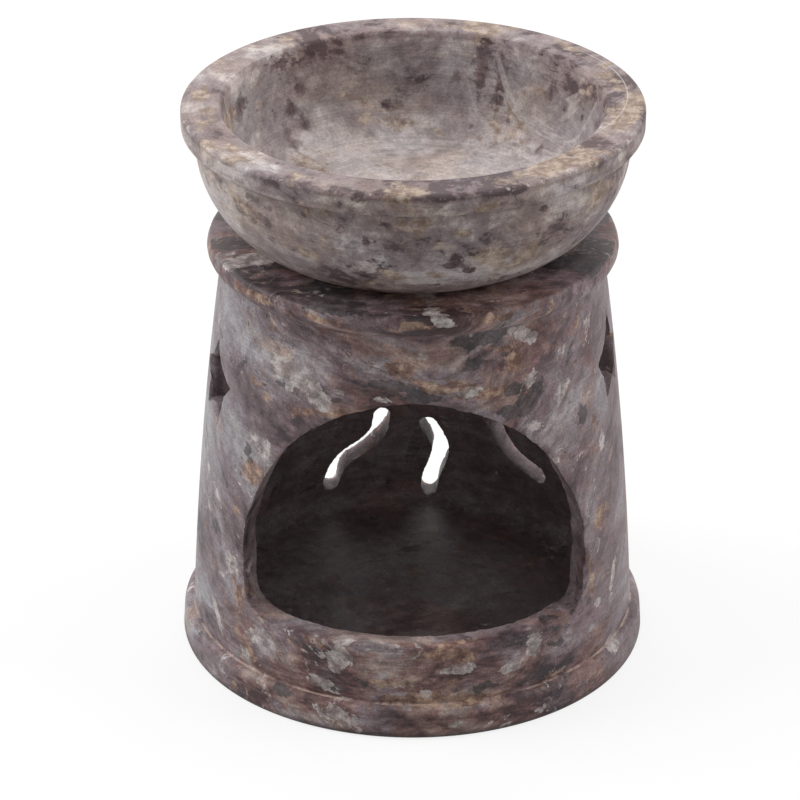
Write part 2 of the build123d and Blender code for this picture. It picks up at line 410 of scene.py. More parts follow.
stand_dark_spots = [
    (17.0, 71.0, 4.6, 1.0, 3), (3.0, 61.6, 2.6, 1.0, 0), (27.0, 61.2, 2.6, 0.8, 0),
    (29.0, 57.4, 3.4, 0.9, 5), (55.0, 51.4, 1.5, 1.8, 0), (-7.0, 63.6, 3.4, 1.0, 0),
    (-58.0, 59.0, 1.6, 2.0, -40), (-66.0, 27.0, 1.6, 2.4, -30), (27.0, 15.0, 4.6, 0.9, 4),
    (18.0, 8.2, 2.6, 0.9, 0), (30.0, 7.4, 2.4, 0.7, 8), (-20.0, 7.4, 1.8, 0.8, 0),
    (-80.0, 76.4, 3.0, 0.5, 0), (-57.0, 76.4, 2.4, 0.5, 0), (-27.0, 76.4, 5.0, 0.6, 0),
    (62.0, 76.4, 4.0, 0.5, 0), (80.0, 76.4, 4.0, 0.5, 0), (-51.0, 46.0, 1.4, 1.8, -40),
    (20.0, 66.6, 3.0, 0.7, 4), (38.0, 60.0, 1.4, 2.0, 0), (-33.0, 5.0, 3.0, 0.8, 0),
]

azimuth, reach, up = points_of(stand)
wall_line = np.interp(up, [0, belly_level, roof_level], [37.4 * MM, 34.6 * MM, 30.9 * MM])
outside = (reach > wall_line) | (up > roof_level)
pale = spots(azimuth, reach, up, stand_pale_spots + [(a + 180, *rest) for a, *rest in stand_pale_spots])
rust = spots(azimuth, reach, up, stand_rust_spots + [(a + 180, *rest) for a, *rest in stand_rust_spots])
dark = spots(azimuth, reach, up, stand_dark_spots + [(a + 180, *rest) for a, *rest in stand_dark_spots])
leftward = -np.sin(np.radians(azimuth))
low = np.clip((34 * MM - up) / (8 * MM), 0, 1)
boldness = np.clip(1.35 - np.abs(azimuth) / 75, 0.55, 1.0) + 0.3 * low * np.clip(leftward, 0, 1)
front = np.clip((65 - np.abs(azimuth)) / 25, 0, 1) * (up < neck_level)
pale = np.maximum(pale, 0.09 * front)
write_colours(stand, "patches", pale * outside, rust * outside, dark * outside, np.minimum(boldness, 1.0))

# The stone's colour changes slowly round and up the stand: redder low in front. Painted sheen of the side
# lights: it is drawn paler on its left and greyer on both flanks.
low_front = np.clip((26 * MM - up) / (20 * MM), 0, 1) * np.clip((70 - np.abs(azimuth)) / 40, 0, 1)
left_flank = np.clip((-azimuth - 22) / 40, 0, 1) * np.clip((180 + azimuth) / 60, 0, 1)
right_flank = np.clip((azimuth - 30) / 40, 0, 1) * np.clip((180 - azimuth) / 60, 0, 1)
low_left = low * np.clip((-azimuth - 20) / 20, 0, 1) * np.clip((180 + azimuth) / 60, 0, 1)
between = (reach > wall_line - 1.6 * MM) & (reach < wall_line + 1.6 * MM) & (np.abs(azimuth) < 72)
shaded_jamb = between & (up > sill_level + 2 * MM) & (up < neck_level - 8 * MM)
collar = np.clip((up - neck_level) / (1 * MM), 0, 1)
# Painted shade: the top of the collar, under the dish's overhang, is drawn darker.
shaded_collar_top = np.clip((up - stand_height + 0.8 * MM) / (0.6 * MM), 0, 1)
# Painted sheen of the side lights: the left flank is drawn paler.
paleness = 0.1 + 0.85 * left_flank - 0.1 * low_front - 0.4 * low_left - 0.25 * collar - 0.6 * shaded_collar_top
paleness = paleness - 0.35 * collar * left_flank
# Painted shade: the cut faces of the mouth's jambs are drawn darker, the left one most.
paleness = paleness - np.interp(azimuth, [-20, 20], [1.1, 0.3]) * shaded_jamb
# Painted shade: the cut faces of the stars are drawn darker, the left star's most.
by_star = (np.abs(np.abs(azimuth) - 75) < 14) & (np.abs(up - 55.5 * MM) < 10 * MM)
shaded_star_cut = by_star & (np.abs(reach - wall_line) < 1.7 * MM)
paleness = paleness - np.where(azimuth < 0, 1.4, 0.3) * shaded_star_cut
upper_right = np.clip((up - 52 * MM) / (8 * MM), 0, 1) * np.clip(1 - np.abs(azimuth - 12) / 34, 0, 1)
redness = np.maximum(1.35 * low_front, 0.9 * upper_right)
# Painted sheen of the side lights: both flanks are drawn less red, the left one more.
redness -= np.maximum(0.9 * left_flank, 0.5 * right_flank) * (1 - low_front) * (1 - collar)
redness += 0.5 * collar
# Painted shade: the cut faces of the draught slots are drawn darker.
shaded_slot_cut = (np.abs(azimuth) > 155) & (up < 28 * MM) & (np.abs(reach - wall_line) < 1.9 * MM)
paleness = paleness - 1.3 * shaded_slot_cut
# Painted light: the inside of the chamber, but not the slots' cut faces, is drawn paler here and greyer in
# the finish.
chamber_painted_light = np.where(outside | shaded_slot_cut, 0.0, 1.0)
paleness += 0.7 * chamber_painted_light
streaky = np.clip(1.1 - np.abs(azimuth) / 60, 0.1, 1.0) + 0.6 * collar - 0.6 * shaded_collar_top
# Painted light and shade go into this attribute together with the stone's own tone.
write_colours(stand, "ground_and_painted_light", paleness, redness, chamber_painted_light, streaky)


def shader_node(tree, kind, inputs, **settings):
    """Adds a shader node with these settings, and gives each of its inputs a value or a link."""
    made = tree.nodes.new("ShaderNode" + kind)
    for setting, value in settings.items():
        setattr(made, setting, value)
    for socket, value in inputs.items():
        if isinstance(value, bpy.types.NodeSocket):
            tree.links.new(value, made.inputs[socket])
        else:
            made.inputs[socket].default_value = value
    return made


def figured(tree, operation, first, second=0.0, third=0.0):
    """Numbers that vary over the stone, put together."""
    return shader_node(tree, "Math", {0: first, 1: second, 2: third}, operation=operation).outputs[0]


def moved(tree, operation, first, second):
    """Two places or directions, put together."""
    return shader_node(tree, "VectorMath", {0: first, 1: second}, operation=operation).outputs[0]


def cloud(tree, where, scale, detail, roughness, shift=0.0):
    """A cloudy field, mostly between -1 and 1, with lumps about one over scale of a metre across."""
    place = moved(tree, "ADD", where, (shift, shift, shift))
    inputs = {"Vector": place, "Scale": scale, "Detail": detail, "Roughness": roughness}
    field = shader_node(tree, "TexNoise", inputs).outputs[0]
    return figured(tree, "MULTIPLY", figured(tree, "SUBTRACT", field, 0.5), 17.0)


def stepped(tree, value, low, high, least=0.0, most=1.0):
    """Rises smoothly from least to most as a number goes from low to high."""
    inputs = {"Value": value, "From Min": low, "From Max": high, "To Min": least, "To Max": most}
    return shader_node(tree, "MapRange", inputs, interpolation_type="SMOOTHSTEP").outputs[0]


def blended(tree, share, first, second, blend="MIX"):
    """One colour laid over another by a share that varies over the stone."""
    inputs = {0: share, 6: first, 7: second}
    return shader_node(tree, "Mix", inputs, data_type="RGBA", blend_type=blend).outputs[2]


def ramped(tree, value, stops):
    """A colour for each value, from the stops between -2.5 and 2.5."""
    ramp = shader_node(tree, "ValToRGB", {0: figured(tree, "MULTIPLY_ADD", value, 0.2, 0.5)})
    while len(ramp.color_ramp.elements) < len(stops):
        ramp.color_ramp.elements.new(0.5)
    for element, (place, colour) in zip(ramp.color_ramp.elements, stops):
        element.position = (place + 2.5) / 5
        element.color = (*colour, 1)
    return ramp.outputs[0]


def stirred(tree, where, reach_coarse, reach_fine):
    """Places pushed about by two clouds, so that what is drawn there has ragged, flowing edges."""
    for scale, detail, reach, shift in ((34.0, 2.0, reach_coarse, 0.0), (260.0, 4.0, reach_fine, 3.1)):
        place = moved(tree, "ADD", where, (shift, shift, shift))
        inputs = {"Vector": place, "Scale": scale, "Detail": detail, "Roughness": 0.55}
        push = moved(tree, "SUBTRACT", shader_node(tree, "TexNoise", inputs).outputs[1], (0.5, 0.5, 0.5))
        where = moved(tree, "ADD", where, moved(tree, "MULTIPLY", push, (reach, reach, reach)))
    return where


def ragged(tree, spot, field, weight, least, soft):
    """Patches with ragged edges where a spot is marked, and a few where chance puts them."""
    return stepped(tree, figured(tree, "MULTIPLY_ADD", spot, weight, field), least - soft, least + soft)


def crumbly(tree, where, scale, shift):
    """A cloudy field with a strong fine part, so that patches cut from it have crumbly edges."""
    coarse = cloud(tree, where, scale, 3.0, 0.5, shift)
    fine = cloud(tree, where, scale * 4.3, 5.0, 0.62, shift + 0.37)
    return figured(tree, "MULTIPLY_ADD", fine, 0.50, figured(tree, "MULTIPLY", coarse, 0.72))


def about_axis(tree, where):
    """Each place's coordinates, its distance from the axis and its place on the turned section."""
    axes = shader_node(tree, "SeparateXYZ", {0: where}).outputs
    across = figured(tree, "MULTIPLY", axes[1], axes[1])
    radius = figured(tree, "SQRT", figured(tree, "MULTIPLY_ADD", axes[0], axes[0], across))
    return axes, radius, shader_node(tree, "CombineXYZ", {0: radius, 1: axes[2]}).outputs[0]


def near_ring(tree, section, radius, level, width):
    """1 on a ring round the axis, falling to 0 at this distance from it."""
    gap = shader_node(tree, "VectorMath", {0: section, 1: (radius, level, 0)}, operation="DISTANCE")
    return stepped(tree, gap.outputs["Value"], 0.0, width, 1.0, 0.0)


def veined(tree, field, where, width, shift):
    """Thin lines along the level of a cloudy field, broken off here and there."""
    line = stepped(tree, figured(tree, "ABSOLUTE", field), width * 0.3, width, 1.0, 0.0)
    gaps = stepped(tree, cloud(tree, where, 90.0, 3.0, 0.6, shift), 0.1, 0.9)
    return figured(tree, "MULTIPLY", line, gaps)


def new_finish(name):
    """An empty finish: its node tree and its surface shader."""
    finish = bpy.data.materials.new(name)
    finish.use_nodes = True
    tree = finish.node_tree
    return finish, tree, tree.nodes["Principled BSDF"]


# Brown soapstone: layers that dip towards the front, with rust, charcoal and ragged pale patches
finish, tree, surface = new_finish("brown_soapstone")
where = shader_node(tree, "TexCoord", {}).outputs["Object"]
axes, radius, section = about_axis(tree, where)
bedding = shader_node(tree, "Mapping", {"Vector": where, "Rotation": (math.radians(-43), 0, 0)}).outputs[0]
flow = moved(tree, "MULTIPLY", stirred(tree, bedding, 0.014, 0.0010), (1.0, 1.0, 2.1))
patches = shader_node(tree, "Attribute", {}, attribute_name="patches")
bias = shader_node(tree, "SeparateColor", {0: patches.outputs["Color"]})
area = shader_node(tree, "Attribute", {}, attribute_name="ground_and_painted_light")
lie = shader_node(tree, "SeparateColor", {0: area.outputs["Color"]})
streaky = area.outputs["Alpha"]

mottle = cloud(tree, where, 420.0, 5.0, 0.65, 1.7)
grain = cloud(tree, where, 2700.0, 2.0, 0.6, 2.9)
tone = crumbly(tree, flow, 62.0, 0.0)
level_flow = moved(tree, "MULTIPLY", stirred(tree, where, 0.006, 0.0010), (1.0, 1.0, 2.8))
level_tone = figured(tree, "SUBTRACT", crumbly(tree, level_flow, 75.0, 44.0), tone)
tone = figured(tree, "MULTIPLY_ADD", level_tone, stepped(tree, axes[2], 11 * MM, 21 * MM, 1.0, 0.0), tone)
# This adds the stone's own tone together with the painted sheen, shade and light of the stand.
tone = figured(tree, "MULTIPLY_ADD", tone, patches.outputs["Alpha"], lie.outputs[0])
colour = ramped(tree, tone, [
    (-2.3, (0.066, 0.050, 0.056)), (-1.5, (0.100, 0.073, 0.079)), (-1.25, (0.150, 0.104, 0.110)),
    (-0.45, (0.190, 0.132, 0.140)), (-0.25, (0.232, 0.167, 0.177)), (0.6, (0.270, 0.204, 0.216)),
    (0.8, (0.305, 0.245, 0.260)), (1.6, (0.350, 0.294, 0.307)), (1.8, (0.405, 0.352, 0.362)),
])
brown = ramped(tree, tone, [
    (-2.3, (0.080, 0.047, 0.049)), (-1.5, (0.112, 0.066, 0.066)), (-1.25, (0.160, 0.092, 0.088)),
    (-0.45, (0.205, 0.122, 0.115)), (-0.25, (0.255, 0.158, 0.146)), (0.6, (0.295, 0.193, 0.175)),
    (0.8, (0.335, 0.231, 0.207)), (1.6, (0.385, 0.280, 0.250)), (1.8, (0.430, 0.330, 0.297)),
])
# Painted sheen: where the flanks are drawn less red they are also drawn cooler, except inside the chamber.
cool = figured(tree, "SUBTRACT", stepped(tree, lie.outputs[1], 0.0, -0.9), lie.outputs[2])
colour = blended(tree, cool, colour, moved(tree, "MULTIPLY", colour, (0.97, 1.05, 1.07)))
warmth = ragged(tree, lie.outputs[1], crumbly(tree, flow, 80.0, 5.3), 1.6, 1.1, 0.7)
colour = blended(tree, warmth, colour, brown)
rust_share = ragged(tree, bias.outputs[1], crumbly(tree, flow, 95.0, 7.9), 4.8, 2.4, 0.4)
rust_colour = ramped(tree, mottle, [
    (-1.5, (0.190, 0.102, 0.078)), (0.0, (0.320, 0.196, 0.145)), (1.5, (0.440, 0.312, 0.232)),
])
colour = blended(tree, figured(tree, "MULTIPLY", rust_share, 0.85), colour, rust_colour)
dark_share = ragged(tree, bias.outputs[2], crumbly(tree, flow, 100.0, 9.1), 4.2, 2.6, 0.25)
dark_colour = ramped(tree, mottle, [(-1.5, (0.045, 0.039, 0.042)), (1.5, (0.098, 0.084, 0.089))])
colour = blended(tree, figured(tree, "MULTIPLY", dark_share, 0.80), colour, dark_colour)
streaks = cloud(tree, moved(tree, "MULTIPLY", flow, (1.0, 1.0, 5.0)), 85.0, 6.0, 0.62, 4.4)
streaks = stepped(tree, figured(tree, "MULTIPLY", streaks, streaky), -2.0, 2.0, 0.72, 1.28)
colour = blended(tree, 1.0, colour, streaks, "MULTIPLY")
tan_vein = veined(tree, cloud(tree, flow, 58.0, 4.0, 0.55, 21.0), flow, 0.12, 2.0)
colour = blended(tree, figured(tree, "MULTIPLY", tan_vein, 0.5), colour, (0.440, 0.335, 0.280, 1))
crack = veined(tree, cloud(tree, flow, 70.0, 4.0, 0.55, 27.0), flow, 0.10, 6.0)
colour = blended(tree, figured(tree, "MULTIPLY", crack, 0.6), colour, (0.060, 0.048, 0.050, 1))
pale_share = ragged(tree, bias.outputs[0], crumbly(tree, flow, 125.0, 12.7), 5.8, 2.7, 0.16)
pale_colour = ramped(tree, mottle, [
    (-1.6, (0.335, 0.283, 0.278)), (-0.4, (0.500, 0.445, 0.428)), (1.5, (0.620, 0.568, 0.545)),
])
worn = stepped(tree, cloud(tree, flow, 330.0, 4.0, 0.65, 41.0), -1.0, 0.7, 0.50, 0.96)
colour = blended(tree, figured(tree, "MULTIPLY", pale_share, worn), colour, pale_colour)
uneven = stepped(tree, cloud(tree, where, 240.0, 4.0, 0.6, 8.8), -1.6, 0.6)
# Painted highlight: a tan line along the plinth's top edge, where the ledge catches the light, broken here
# and there.
foot_highlight = figured(
    tree, "MULTIPLY", near_ring(tree, section, foot_radius, plinth_top - 0.1 * MM, 0.45 * MM), uneven
)
colour = blended(tree, figured(tree, "MULTIPLY", foot_highlight, 0.85), colour, (0.560, 0.420, 0.360, 1))
# Painted highlight: a tan line along the collar's lower edge, broken here and there.
collar_highlight = figured(
    tree, "MULTIPLY", near_ring(tree, section, collar_foot[0], collar_foot[1], 0.5 * MM), uneven
)
colour = blended(tree, figured(tree, "MULTIPLY", collar_highlight, 0.6), colour, (0.480, 0.380, 0.320, 1))
# Painted shadow: a dark ring at the bottom edge, where the stand meets the table.
bottom_shadow = near_ring(tree, section, base_radius, 0.0, 1.5 * MM)
colour = blended(tree, figured(tree, "MULTIPLY", bottom_shadow, 0.9), colour, (0.040, 0.034, 0.035, 1))
# Painted light: the inside of the chamber is drawn greyer and paler.
colour = blended(tree, figured(tree, "MULTIPLY", lie.outputs[2], 0.22), colour, (0.370, 0.320, 0.325, 1))
speckle = figured(
    tree, "MULTIPLY", stepped(tree, mottle, -2.0, 2.0, 0.84, 1.16),
    stepped(tree, grain, -2.0, 2.0, 0.86, 1.14),
)
lathe_marks = cloud(tree, moved(tree, "MULTIPLY", section, (900.0, 2400.0, 0.0)), 1.0, 3.0, 0.6)
speckle = figured(tree, "MULTIPLY", speckle, stepped(tree, lathe_marks, -2.0, 2.0, 0.93, 1.07))
colour = blended(tree, 1.0, colour, speckle, "MULTIPLY")
tree.links.new(colour, surface.inputs["Base Color"])
tree.links.new(stepped(tree, mottle, -2.0, 2.0, 0.42, 0.58), surface.inputs["Roughness"])
surface.inputs["Specular IOR Level"].default_value = 0.25
relief = figured(tree, "MULTIPLY_ADD", mottle, 0.7, figured(tree, "MULTIPLY", grain, 0.3))
bump = shader_node(tree, "Bump", {"Height": relief, "Strength": 0.25, "Distance": 0.00003})
tree.links.new(bump.outputs[0], surface.inputs["Normal"])
stand.data.materials.clear()
stand.data.materials.append(finish)

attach(stand, "stand")
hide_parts("stand")

# Dish
# A shallow bowl turned from a paler piece of the same stone, with a flat rim that overhangs its side.
# It sits loose on the stand, and a short spigot under it drops into the stand's well.
dish_low, dish_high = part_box("dish")
rim_level = dish_high.z
rim_radius = dish_high.x
seat_level = stand_height
spigot_foot = dish_low.z
spigot_clearance = 0.35 * MM
spigot_radius = well_radius - spigot_clearance
seat_radius = 25.4 * MM
lip_height = 3.7 * MM
lip_level = rim_level - lip_height
lip_inset = 2.3 * MM
rim_round = 0.8 * MM
lip_round = 0.5 * MM
rim_width = 6.7 * MM
bowl_radius = rim_radius - rim_width
bowl_depth = 17.6 * MM
bowl_level = rim_level - bowl_depth
bowl_draft = math.tan(math.radians(12.0))
bowl_cove = 9.0 * MM
dish_belly = (34.05 * MM, seat_level + 0.40 * (lip_level - seat_level))
dish_turns = 320
side_radius = 36.0 * MM
least_spot_reach = 12.0 * MM

lip_inner = (rim_radius - lip_inset, lip_level)
lip_edge = rounded(lip_inner, (rim_radius, lip_level), (rim_radius, rim_level), lip_round, 4)
rim_outer = rounded((rim_radius, lip_level), (rim_radius, rim_level), (0, rim_level), rim_round, 6)
bowl_foot = (bowl_radius - (rim_level - bowl_level) * bowl_draft, bowl_level)
rim_inner = rounded((rim_radius, rim_level), (bowl_radius, rim_level), bowl_foot, rim_round, 6)
bowl_corner = rounded((bowl_radius, rim_level), bowl_foot, (0, bowl_level), bowl_cove, 16)

dish_outline = [(0, spigot_foot)]
dish_outline += straight_to((0, spigot_foot), (spigot_radius, spigot_foot), 10)
dish_outline += straight_to(dish_outline[-1], (spigot_radius, seat_level), 3)
dish_outline += straight_to(dish_outline[-1], (seat_radius, seat_level), 4)
dish_outline += arc_through((seat_radius, seat_level), dish_belly, lip_inner, 30)
dish_outline += straight_to(lip_inner, lip_edge[0], 3)
dish_outline += lip_edge[1:]
dish_outline += straight_to(lip_edge[-1], rim_outer[0], 3)
dish_outline += rim_outer[1:]
dish_outline += straight_to(rim_outer[-1], rim_inner[0], 6)
dish_outline += rim_inner[1:]
dish_outline += straight_to(rim_inner[-1], bowl_corner[0], 9)
dish_outline += bowl_corner[1:]
dish_outline += straight_to(bowl_corner[-1], (0, bowl_level), 18)
dish = turned_on_lathe("dish_stone", dish_outline, dish_turns)
bpy.ops.object.shade_smooth_by_angle(angle=math.radians(35))

# Patches of the dish that show from the front and above. On the side they are placed by level, and
# inside and on the rim by the distance from the axis.
rim_and_bowl_dark = [
    (-133, 31.6, 3.0, 0.5, 0), (-135, 30.2, 1.8, 0.6, 0), (-140, 30.8, 1.6, 0.4, 0),
    (-139, 29.0, 1.4, 0.9, 0), (-130, 27.5, 0.7, 1.6, 0), (-127, 30.3, 0.9, 0.3, 0),
    (-141, 31.7, 3.0, 0.25, 0), (-163, 31.3, 3.0, 0.3, 0), (-170, 29.3, 2.6, 0.6, 0),
    (175, 30.6, 4.6, 0.5, 0), (157, 31.0, 1.8, 1.2, 0), (150, 30.3, 1.6, 1.2, 0),
    (144.5, 28.9, 0.6, 1.3, 0), (129, 30.9, 0.7, 0.3, 0), (121, 30.5, 0.8, 0.3, 0),
    (113, 31.2, 0.7, 0.3, 0), (110, 30.8, 0.8, 0.3, 0), (126, 27.0, 0.5, 0.8, 0), (158, 27.1, 0.6, 0.6, 0),
    (92, 33.0, 2.6, 0.6, 0), (-110, 31.2, 3.0, 0.5, 0), (-101, 37.0, 2.0, 0.5, 20),
    (-115, 34.5, 1.6, 0.6, 0), (-81, 38.2, 2.0, 0.6, 0), (-40, 33.8, 1.6, 1.2, 0), (-28, 38.2, 3.4, 0.5, 0),
    (-16, 38.0, 3.2, 1.0, 0), (7, 36.2, 1.4, 0.9, 0), (58, 36.8, 2.4, 1.4, 0), (102, 34.0, 2.4, 0.9, 0),
    (12, 17.0, 1.0, 1.0, 0),
]
rim_and_bowl_cream = [
    (-82, 34.4, 1.2, 1.0, 0), (-62, 38.2, 1.6, 0.9, 0), (-49, 36.8, 2.4, 1.4, 0), (-33, 36.2, 2.2, 1.0, 0),
    (0, 36.6, 3.2, 1.6, 0), (22, 36.0, 5.0, 1.8, 0), (40, 36.0, 5.0, 2.2, 0), (78, 36.0, 5.0, 2.0, 0),
    (92, 37.0, 4.0, 1.6, 0), (-95, 36.0, 3.0, 1.4, 0), (-73, 36.5, 2.4, 1.2, 0), (-55, 36.0, 3.0, 1.6, 0),
    (180, 36.0, 4.0, 1.4, 0), (128, 36.0, 4.0, 1.5, 0),
]
side_dark = [
    (-43, 93.6, 2.4, 0.4, -6), (-40.5, 90.0, 1.0, 1.0, 0), (-62, 94.5, 1.6, 0.6, -30),
    (-20, 88.4, 2.0, 1.6, 0), (-12, 91.0, 1.6, 1.2, 0), (-19, 85.0, 1.4, 1.2, 0),
    (-12, 82.8, 2.0, 0.8, -10), (-17, 97.6, 2.4, 1.2, 0), (10, 85.6, 2.6, 0.5, -15),
    (15, 84.4, 1.2, 0.8, 0), (7, 81.0, 1.6, 0.8, 0), (22, 97.2, 1.4, 1.0, 0), (20, 95.0, 1.4, 0.8, 0),
    (33, 94.0, 2.2, 0.7, 0), (41, 97.2, 1.8, 0.9, 0), (41.5, 91.0, 2.0, 1.8, 30), (-3, 93.6, 4.0, 0.5, 0),
    (-28, 81.0, 2.0, 0.8, 0), (28, 80.0, 2.4, 0.7, 0),
]
side_cream = [
    (12, 92.5, 1.7, 1.0, 0), (6, 90.4, 1.3, 0.9, 0), (17, 97.6, 1.8, 0.9, 0), (20, 87.0, 1.6, 1.3, 0),
    (5, 84.0, 2.0, 1.1, 0), (33, 87.4, 1.0, 1.4, 0), (-6, 84.0, 1.7, 1.2, 0), (-47, 91.0, 2.6, 1.3, 0),
    (55, 92.0, 2.6, 1.6, 0), (30, 84.0, 3.0, 1.2, 20), (-30, 86.0, 2.4, 1.2, -15),
]

azimuth, reach, up = points_of(dish)
upper = (up > rim_level - rim_round) | ((reach < bowl_radius) & (up > bowl_level - 0.1 * MM))
around = np.full(len(up), side_radius)
side_pale = spots(azimuth, around, up, side_cream + [(a + 180, *rest) for a, *rest in side_cream])
side_black = spots(azimuth, around, up, side_dark + [(a + 180, *rest) for a, *rest in side_dark])
top_pale = spots(azimuth, np.maximum(reach, least_spot_reach), reach, rim_and_bowl_cream)
top_black = spots(azimuth, np.maximum(reach, least_spot_reach), reach, rim_and_bowl_dark)
cream = np.where(upper, top_pale, side_pale)
black = np.where(upper, top_black, 0.78 * side_black)
bowl = np.clip((bowl_radius - 0.2 * MM - reach) / (1.2 * MM), 0, 1) * upper
sideways = np.clip((np.abs(azimuth) - 30) / 50, 0, 1)
bowl_floor = np.clip((30 * MM - reach) / (6 * MM), 0, 1) * upper
rim_front = np.clip(1 - np.abs(azimuth) / 70, 0, 1) * (1 - bowl)
rim_left = np.clip((-azimuth - 45) / 20, 0, 1) * np.clip((135 + azimuth) / 20, 0, 1) * (1 - bowl) * upper
black = black * (1 - 0.25 * rim_left)
rim_right = np.clip((azimuth - 40) / 20, 0, 1) * np.clip((140 - azimuth) / 20, 0, 1) * (1 - bowl) * upper
# Painted light: the bowl's floor is drawn paler, as lit from above.
on_top = 0.25 * bowl + 2.3 * bowl_floor - 0.05 - 2.0 * rim_front + 0.45 * rim_left - 0.75 * rim_right
# Painted sheen of the side lights: the side is drawn paler to the left and darker to the right.
paleness = np.where(upper, on_top, 0.45 + (0.8 - 1.15 * np.sin(np.radians(azimuth))) * sideways)
left_wall = np.clip((-azimuth - 25) / 20, 0, 1) * np.clip((160 + azimuth) / 30, 0, 1) * (1 - upper)
boldness = 1.0 - 0.55 * bowl - 0.3 * rim_left - 0.2 * rim_front * upper - 0.4 * left_wall
write_colours(dish, "patches", cream, black, paleness, boldness)

scratch_centre = (8.1 * MM, 4.1 * MM, 0)
scratch_radius = 28.0 * MM

# Pale soapstone: mauve grey, with cream and dark purple patches and thin cracks
finish, tree, surface = new_finish("pale_soapstone")
where = shader_node(tree, "TexCoord", {}).outputs["Object"]
axes, radius, section = about_axis(tree, where)
flow = moved(tree, "MULTIPLY", stirred(tree, where, 0.012, 0.0010), (1.0, 1.0, 1.5))
patches = shader_node(tree, "Attribute", {}, attribute_name="patches")
bias = shader_node(tree, "SeparateColor", {0: patches.outputs["Color"]})
boldness = patches.outputs["Alpha"]
mottle = cloud(tree, where, 420.0, 5.0, 0.65, 4.7)
grain = cloud(tree, where, 2700.0, 2.0, 0.6, 6.9)
tone = figured(tree, "MULTIPLY", crumbly(tree, flow, 85.0, 2.2), 1.25)
# The third channel of the patches carries the painted light on the bowl's floor and the side.
tone = figured(tree, "MULTIPLY_ADD", tone, boldness, bias.outputs[2])
colour = ramped(tree, tone, [
    (-2.4, (0.120, 0.086, 0.090)), (-2.0, (0.165, 0.120, 0.123)), (-1.8, (0.235, 0.177, 0.178)),
    (-0.8, (0.290, 0.227, 0.225)), (-0.6, (0.330, 0.263, 0.258)), (0.6, (0.375, 0.306, 0.297)),
    (0.8, (0.415, 0.346, 0.334)), (1.5, (0.460, 0.391, 0.374)), (1.7, (0.520, 0.452, 0.432)),
    (2.4, (0.620, 0.548, 0.530)),
])
hue = ramped(tree, cloud(tree, flow, 60.0, 8.0, 0.66, 34.0), [
    (-1.6, (0.97, 0.99, 1.03)), (0.0, (1.0, 1.0, 1.0)), (1.6, (1.04, 0.99, 0.94)),
])
colour = blended(tree, 1.0, colour, hue, "MULTIPLY")
bowl_wall = figured(
    tree, "MULTIPLY", stepped(tree, radius, bowl_radius - 0.2 * MM, bowl_radius - 1.0 * MM),
    stepped(tree, axes[2], bowl_level + 2 * MM, bowl_level + 8 * MM),
)
colour = blended(tree, bowl_wall, colour, moved(tree, "MULTIPLY", colour, (0.98, 1.05, 1.06)))
cream_share = ragged(tree, bias.outputs[0], crumbly(tree, flow, 85.0, 15.3), 3.5, 1.9, 0.8)
cream_colour = ramped(tree, mottle, [
    (-1.5, (0.315, 0.218, 0.165)), (0.0, (0.420, 0.315, 0.245)), (1.5, (0.520, 0.420, 0.345)),
])
colour = blended(tree, figured(tree, "MULTIPLY", cream_share, 0.85), colour, cream_colour)
dark_share = ragged(tree, bias.outputs[1], crumbly(tree, flow, 130.0, 19.1), 3.6, 2.5, 0.65)
dark_colour = ramped(tree, mottle, [(-1.5, (0.090, 0.060, 0.064)), (1.5, (0.200, 0.142, 0.144))])
dark_share = figured(tree, "MULTIPLY", dark_share, figured(tree, "MAXIMUM", boldness, bias.outputs[1]))
colour = blended(tree, dark_share, colour, dark_colour)
crack = veined(tree, cloud(tree, flow, 45.0, 3.0, 0.5, 27.0), flow, 0.06, 6.0)
crack = figured(tree, "MULTIPLY", crack, figured(tree, "MULTIPLY", boldness, 0.7))
colour = blended(tree, crack, colour, (0.130, 0.092, 0.096, 1))
uneven = stepped(tree, cloud(tree, where, 240.0, 4.0, 0.6, 8.8), -0.8, 0.6)
lip_shadow = near_ring(tree, section, lip_inner[0], lip_inner[1] - 0.10 * MM, 0.45 * MM)
colour = blended(tree, figured(tree, "MULTIPLY", lip_shadow, 0.75), colour, (0.075, 0.056, 0.058, 1))
# Painted highlight: a pale line along the lip's lower edge, broken here and there.
lip_highlight = figured(
    tree, "MULTIPLY", near_ring(tree, section, rim_radius - 0.1 * MM, lip_level + 0.1 * MM, 0.45 * MM),
    uneven,
)
colour = blended(tree, figured(tree, "MULTIPLY", lip_highlight, 0.5), colour, (0.600, 0.520, 0.470, 1))
# Pale flecks along the rim's outer edge: worn spots and painted glints.
flecks = stepped(tree, cloud(tree, where, 520.0, 3.0, 0.6, 31.0), 1.9, 2.3)
rim_wear_and_glints = figured(
    tree, "MULTIPLY", near_ring(tree, section, rim_radius - 0.25 * MM, rim_level - 0.25 * MM, 0.7 * MM),
    flecks,
)
colour = blended(tree, figured(tree, "MULTIPLY", rim_wear_and_glints, 0.6), colour, (0.800, 0.740, 0.690, 1))
scratch_place = moved(tree, "MULTIPLY", moved(tree, "SUBTRACT", where, scratch_centre), (1.0, 1.0, 0.0))
scratch_reach = shader_node(tree, "VectorMath", {0: scratch_place}, operation="LENGTH").outputs["Value"]
scratch = stepped(
    tree, figured(tree, "ABSOLUTE", figured(tree, "SUBTRACT", scratch_reach, scratch_radius)), 0.05 * MM,
    0.16 * MM, 1.0, 0.0,
)
scratch = figured(tree, "MULTIPLY", scratch, stepped(tree, axes[0], 26 * MM, 31 * MM))
scratch = figured(
    tree, "MULTIPLY", scratch, stepped(tree, axes[2], rim_level - 2.0 * MM, rim_level - 0.4 * MM)
)
colour = blended(tree, figured(tree, "MULTIPLY", scratch, 0.6), colour, (0.640, 0.580, 0.550, 1))
wiped = shader_node(tree, "Mapping", {"Vector": where, "Rotation": (0, 0, math.radians(-37))}).outputs[0]
